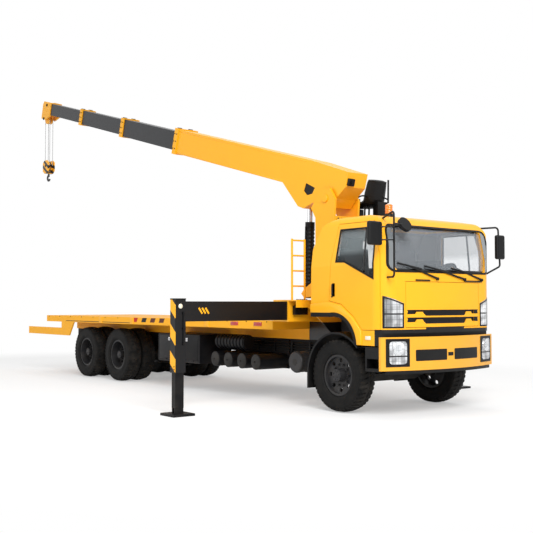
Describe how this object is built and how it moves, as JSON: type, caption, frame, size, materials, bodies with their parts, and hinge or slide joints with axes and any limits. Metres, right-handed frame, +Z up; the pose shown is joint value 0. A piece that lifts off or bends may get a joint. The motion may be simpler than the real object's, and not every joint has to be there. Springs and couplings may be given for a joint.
{
  "type": "truck-mounted telescopic crane",
  "caption": "Forward-control truck with a flat deck and a straight telescopic boom crane behind the cab, outriggers out and hook block hanging at the boom's head.",
  "frame": {"origin": "on the ground under the middle of the whole machine's box, boom run out over the tail", "axes": "+X to the truck's front, +Y to its left, +Z up"},
  "size_m": [13.9548, 6.72, 7.0333],
  "materials": {
    "yellow_paint": "gloss",
    "dark_paint": "satin",
    "grey_paint": "satin",
    "frame_paint": "satin",
    "cast_metal": "cast",
    "bright_steel": "polished",
    "wire": "stranded",
    "tyre_rubber": "matte",
    "window": "clear",
    "lamp": "gloss",
    "amber": "gloss",
    "trim": "matte",
    "cloth": "matte"
  },
  "bodies": {
    "chassis": {"chassis_frame": "frame_paint", "front_axle": "cast_metal", "rear_axles": "cast_metal", "leaf_springs": "frame_paint", "engine_block": "cast_metal", "front_bumper": "yellow_paint", "bumper_lamps": "lamp", "mudguards": "trim", "cab_steps": "trim", "air_tanks": "dark_paint", "tool_box": "dark_paint", "fuel_tank": "grey_paint", "silencer": "grey_paint", "deck": "yellow_paint", "crane_base": "yellow_paint", "ladder": "yellow_paint"},
    "cab": {"cab_shell": "yellow_paint", "windscreen": "window", "rear_window": "window", "dashboard": "trim", "cab_seats": "cloth", "mirrors": "trim", "head_lamps": "lamp", "beacon": "amber"},
    "lid": {"front_lid": "yellow_paint"},
    "column": {"crane_column": "yellow_paint", "operator_seat": "trim"},
    "boom": {"boom_base": "yellow_paint"},
    "section_1": {"boom_section_1": "dark_paint"},
    "section_2": {"boom_section_2": "dark_paint"},
    "section_3": {"boom_section_3": "dark_paint"},
    "hook": {"hoist_rope": "wire", "hook_block": "yellow_paint"},
    "lift_barrel": {"lift_barrel": "dark_paint"},
    "lift_rod": {"lift_rod": "bright_steel"},
    "door_right": {"door_right": "yellow_paint", "door_glass_right": "window"},
    "steer_right": {"steering_knuckle_right": "cast_metal"},
    "front_wheel_right": {"front_wheel_right": "grey_paint", "front_tyre_right": "tyre_rubber"},
    "middle_wheels_right": {"middle_wheels_right": "grey_paint", "middle_tyres_right": "tyre_rubber"},
    "rear_wheels_right": {"rear_wheels_right": "grey_paint", "rear_tyres_right": "tyre_rubber"},
    "outrigger_right": {"outrigger_beam_right": "dark_paint"},
    "jack_right": {"outrigger_jack_right": "grey_paint"},
    "door_left": {"door_left": "yellow_paint", "door_glass_left": "window"},
    "steer_left": {"steering_knuckle_left": "cast_metal"},
    "front_wheel_left": {"front_wheel_left": "grey_paint", "front_tyre_left": "tyre_rubber"},
    "middle_wheels_left": {"middle_wheels_left": "grey_paint", "middle_tyres_left": "tyre_rubber"},
    "rear_wheels_left": {"rear_wheels_left": "grey_paint", "rear_tyres_left": "tyre_rubber"},
    "outrigger_left": {"outrigger_beam_left": "dark_paint"},
    "jack_left": {"outrigger_jack_left": "grey_paint"}
  },
  "joints": [
    {"name": "steer_right", "type": "hinge", "parent": "chassis", "child": "steer_right", "pos_m": [5.79735, -0.86, 0.5425], "axis": [0, 0, 1], "range_deg": [-38, 38]},
    {"name": "front_spin_right", "type": "hinge", "parent": "steer_right", "child": "front_wheel_right", "pos_m": [5.79735, -1.014, 0.5425], "axis": [0, 1, 0], "continuous": true},
    {"name": "middle_spin_right", "type": "hinge", "parent": "chassis", "child": "middle_wheels_right", "pos_m": [-0.85265, -1.014, 0.5425], "axis": [0, 1, 0], "continuous": true},
    {"name": "rear_spin_right", "type": "hinge", "parent": "chassis", "child": "rear_wheels_right", "pos_m": [-2.25265, -1.014, 0.5425], "axis": [0, 1, 0], "continuous": true},
    {"name": "outrigger_right", "type": "slide", "parent": "chassis", "child": "outrigger_right", "axis": [0, 1, 0], "range_m": [0, 1.87]},
    {"name": "jack_right", "type": "slide", "parent": "outrigger_right", "child": "jack_right", "axis": [0, 0, 1], "range_m": [0, 0.45]},
    {"name": "steer_left", "type": "hinge", "parent": "chassis", "child": "steer_left", "pos_m": [5.79735, 0.86, 0.5425], "axis": [0, 0, 1], "range_deg": [-38, 38]},
    {"name": "front_spin_left", "type": "hinge", "parent": "steer_left", "child": "front_wheel_left", "pos_m": [5.79735, 1.014, 0.5425], "axis": [0, 1, 0], "continuous": true},
    {"name": "middle_spin_left", "type": "hinge", "parent": "chassis", "child": "middle_wheels_left", "pos_m": [-0.85265, 1.014, 0.5425], "axis": [0, 1, 0], "continuous": true},
    {"name": "rear_spin_left", "type": "hinge", "parent": "chassis", "child": "rear_wheels_left", "pos_m": [-2.25265, 1.014, 0.5425], "axis": [0, 1, 0], "continuous": true},
    {"name": "outrigger_left", "type": "slide", "parent": "chassis", "child": "outrigger_left", "axis": [0, -1, 0], "range_m": [0, 1.87]},
    {"name": "jack_left", "type": "slide", "parent": "outrigger_left", "child": "jack_left", "axis": [0, 0, 1], "range_m": [0, 0.45]},
    {"name": "door_right", "type": "hinge", "parent": "cab", "child": "door_right", "pos_m": [6.70035, -1.19, 1.9], "axis": [0, 0, 1], "range_deg": [0, 70]},
    {"name": "door_left", "type": "hinge", "parent": "cab", "child": "door_left", "pos_m": [6.70035, 1.19, 1.9], "axis": [0, 0, -1], "range_deg": [0, 70]},
    {"name": "cab_tilt", "type": "hinge", "parent": "chassis", "child": "cab", "pos_m": [6.92735, 0, 1.06], "axis": [0, 1, 0], "range_deg": [0, 45]},
    {"name": "front_lid", "type": "hinge", "parent": "cab", "child": "lid", "pos_m": [6.89235, 0, 1.905], "axis": [0, -1, 0], "range_deg": [0, 60]},
    {"name": "slew", "type": "hinge", "parent": "chassis", "child": "column", "pos_m": [4.59735, 0, 1.655], "axis": [0, 0, 1], "range_deg": [-120, 120]},
    {"name": "luff", "type": "hinge", "parent": "column", "child": "boom", "pos_m": [4.59735, 0, 3.33], "axis": [0, 1, 0], "range_deg": [-15.7, 59]},
    {"name": "telescope_1", "type": "slide", "parent": "boom", "child": "section_1", "axis": [0.9627, 0, -0.2706], "range_m": [0, 2.15]},
    {"name": "telescope_2", "type": "slide", "parent": "section_1", "child": "section_2", "axis": [0.9627, 0, -0.2706], "range_m": [0, 2]},
    {"name": "telescope_3", "type": "slide", "parent": "section_2", "child": "section_3", "axis": [0.9627, 0, -0.2706], "range_m": [0, 1.8]},
    {"name": "hook_hang", "type": "hinge", "parent": "section_3", "child": "hook", "pos_m": [-6.81205, 0, 6.5682], "axis": [0, 1, 0], "range_deg": [-59, 15.7]},
    {"name": "lift_swing", "type": "hinge", "parent": "column", "child": "lift_barrel", "pos_m": [3.84735, 0, 1.765], "axis": [0, 1, 0], "range_deg": [-2.5, 8.6]},
    {"name": "lift_stroke", "type": "slide", "parent": "lift_barrel", "child": "lift_rod", "axis": [0.0312, 0, 0.9995], "range_m": [-0.17, 0.64]}
  ],
  "couplings": [
    {"joint": "steer_left", "follows": "steer_right", "ratio": 1},
    {"joint": "telescope_2", "follows": "telescope_1", "ratio": 0.93},
    {"joint": "telescope_3", "follows": "telescope_1", "ratio": 0.837},
    {"joint": "hook_hang", "follows": "luff", "ratio": -1},
    {"joint": "lift_swing", "follows": "luff", "ratio": 0.142},
    {"joint": "lift_stroke", "follows": "luff", "m_per_rad": 0.617}
  ]
}
